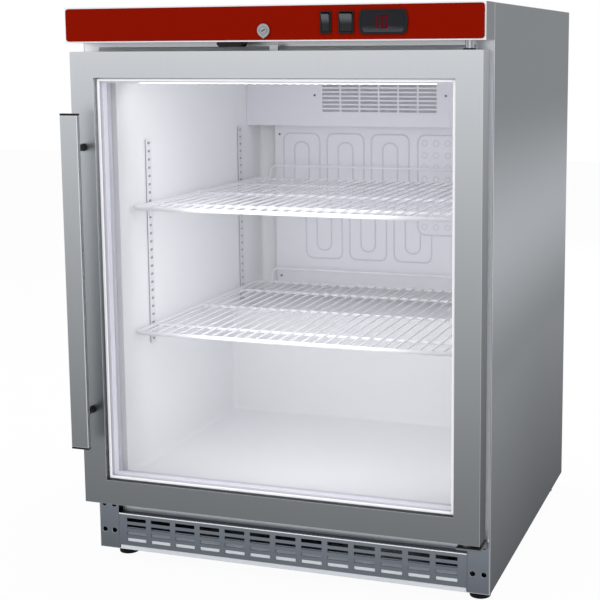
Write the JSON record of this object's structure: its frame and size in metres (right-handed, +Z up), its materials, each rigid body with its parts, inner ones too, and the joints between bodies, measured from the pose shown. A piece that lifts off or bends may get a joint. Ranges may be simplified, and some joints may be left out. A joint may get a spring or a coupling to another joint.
{
  "type": "undercounter glass-door refrigerator",
  "caption": "Undercounter steel refrigerator with a hinged glass door, red control fascia, wire shelves, louvred plinth and a rear machine bay.",
  "frame": {"origin": "on the floor, at the middle of the overall width and of the overall depth, door handle included", "axes": "+Z up, -Y towards the door side, +X to the right seen from the front"},
  "size_m": [0.6, 0.646, 0.82],
  "materials": {
    "brushed_steel": "fine vertical brushed stainless steel",
    "galvanised_sheet": "zinc-coated sheet steel, satin",
    "red_fascia": "deep red gloss overlay",
    "chrome": "bright plated",
    "black_plastic": "black moulded plastic, low gloss",
    "foot_plastic": "black matt plastic pad on a threaded stud",
    "white_plastic": "cool white moulded liner, soft gloss",
    "evaporator_white": "white coated roll-bond aluminium",
    "white_coated_wire": "white plastic-coated steel",
    "insulation": "foamed in place, unseen",
    "clear_glass": "clear float glass",
    "lamp_lens": "frosted white light strip",
    "gasket_rubber": "soft grey magnetic seal",
    "aluminium": "satin aluminium",
    "black_enamel": "black enamel"
  },
  "bodies": {
    "cabinet": {"side_panel_left": "brushed_steel", "side_panel_right": "brushed_steel", "top_panel": "brushed_steel", "front_frame": "brushed_steel", "fascia_housing": "brushed_steel", "plinth_plate_left": "brushed_steel", "plinth_plate_right": "brushed_steel", "louvre_panel": "brushed_steel", "back_panel": "galvanised_sheet", "underbody_panel": "galvanised_sheet", "base_tray": "galvanised_sheet", "hinge_bracket_bottom": "galvanised_sheet", "fascia_cover": "red_fascia", "lock_body": "chrome", "hinge_bracket_top": "chrome", "power_switch_housing": "black_plastic", "light_switch_housing": "black_plastic", "controller": "black_plastic", "mains_gland": "black_plastic", "drip_tray": "black_plastic", "evaporator_fan_frame": "black_plastic", "inner_liner": "white_plastic", "fan_duct_cover": "white_plastic", "lamp_housing": "white_plastic", "evaporator_plate": "evaporator_white", "shelf_clip_upper_front_left": "white_coated_wire", "shelf_clip_upper_front_right": "white_coated_wire", "shelf_clip_upper_rear_left": "white_coated_wire", "shelf_clip_upper_rear_right": "white_coated_wire", "shelf_clip_lower_front_left": "white_coated_wire", "shelf_clip_lower_front_right": "white_coated_wire", "shelf_clip_lower_rear_left": "white_coated_wire", "shelf_clip_lower_rear_right": "white_coated_wire", "insulation_foam": "insulation", "lamp_diffuser": "lamp_lens", "pilaster_front_left": "aluminium", "pilaster_front_right": "aluminium", "pilaster_rear_left": "aluminium", "pilaster_rear_right": "aluminium", "compressor": "black_enamel", "condenser": "black_enamel", "condenser_fan_frame": "black_enamel"},
    "door": {"door_frame": "brushed_steel", "door_inner_frame": "white_plastic", "door_glass_outer": "clear_glass", "door_glass_inner": "clear_glass", "glass_spacer": "aluminium", "door_gasket": "gasket_rubber", "door_handle": "brushed_steel"},
    "lock": {"lock_cylinder": "chrome"},
    "power_button": {"power_rocker": "black_plastic"},
    "light_button": {"light_rocker": "black_plastic"},
    "evaporator_fan": {"evaporator_fan_blade": "black_plastic"},
    "condenser_fan": {"condenser_fan_blade": "aluminium"},
    "upper_shelf": {"shelf_upper": "white_coated_wire"},
    "lower_shelf": {"shelf_lower": "white_coated_wire"},
    "levelling_foot_front_left": {"foot_front_left": "foot_plastic"},
    "levelling_foot_front_right": {"foot_front_right": "foot_plastic"},
    "levelling_foot_rear_left": {"foot_rear_left": "foot_plastic"},
    "levelling_foot_rear_right": {"foot_rear_right": "foot_plastic"}
  },
  "joints": [
    {"name": "door_swing", "type": "hinge", "parent": "cabinet", "child": "door", "pos_m": [0.274, -0.266, 0.433], "axis": [0, 0, 1], "range_deg": [0, 110]},
    {"name": "lock_turn", "type": "hinge", "parent": "cabinet", "child": "lock", "pos_m": [0, -0.267, 0.7862], "axis": [0, 1, 0], "range_deg": [-90, 0]},
    {"name": "power_press", "type": "hinge", "parent": "cabinet", "child": "power_button", "pos_m": [0.0873, -0.2858, 0.79575], "axis": [1, 0, 0], "range_deg": [-16, 0]},
    {"name": "light_press", "type": "hinge", "parent": "cabinet", "child": "light_button", "pos_m": [0.1155, -0.2858, 0.79575], "axis": [1, 0, 0], "range_deg": [-16, 0]},
    {"name": "evaporator_fan_spin", "type": "hinge", "parent": "cabinet", "child": "evaporator_fan", "pos_m": [-0.006, 0.23575, 0.68605], "axis": [0, 1, 0], "continuous": true},
    {"name": "condenser_fan_spin", "type": "hinge", "parent": "cabinet", "child": "condenser_fan", "pos_m": [-0.15, 0.248, 0.1218], "axis": [0, 1, 0], "continuous": true},
    {"name": "upper_shelf_lift", "type": "slide", "parent": "cabinet", "child": "upper_shelf", "axis": [0, 0, -1], "range_m": [-0.06, 0]},
    {"name": "lower_shelf_lift", "type": "slide", "parent": "cabinet", "child": "lower_shelf", "axis": [0, 0, -1], "range_m": [-0.06, 0]},
    {"name": "foot_front_left_level", "type": "slide", "parent": "cabinet", "child": "levelling_foot_front_left", "axis": [0, 0, -1], "range_m": [0, 0.015]},
    {"name": "foot_front_right_level", "type": "slide", "parent": "cabinet", "child": "levelling_foot_front_right", "axis": [0, 0, -1], "range_m": [0, 0.015]},
    {"name": "foot_rear_left_level", "type": "slide", "parent": "cabinet", "child": "levelling_foot_rear_left", "axis": [0, 0, -1], "range_m": [0, 0.015]},
    {"name": "foot_rear_right_level", "type": "slide", "parent": "cabinet", "child": "levelling_foot_rear_right", "axis": [0, 0, -1], "range_m": [0, 0.015]}
  ]
}
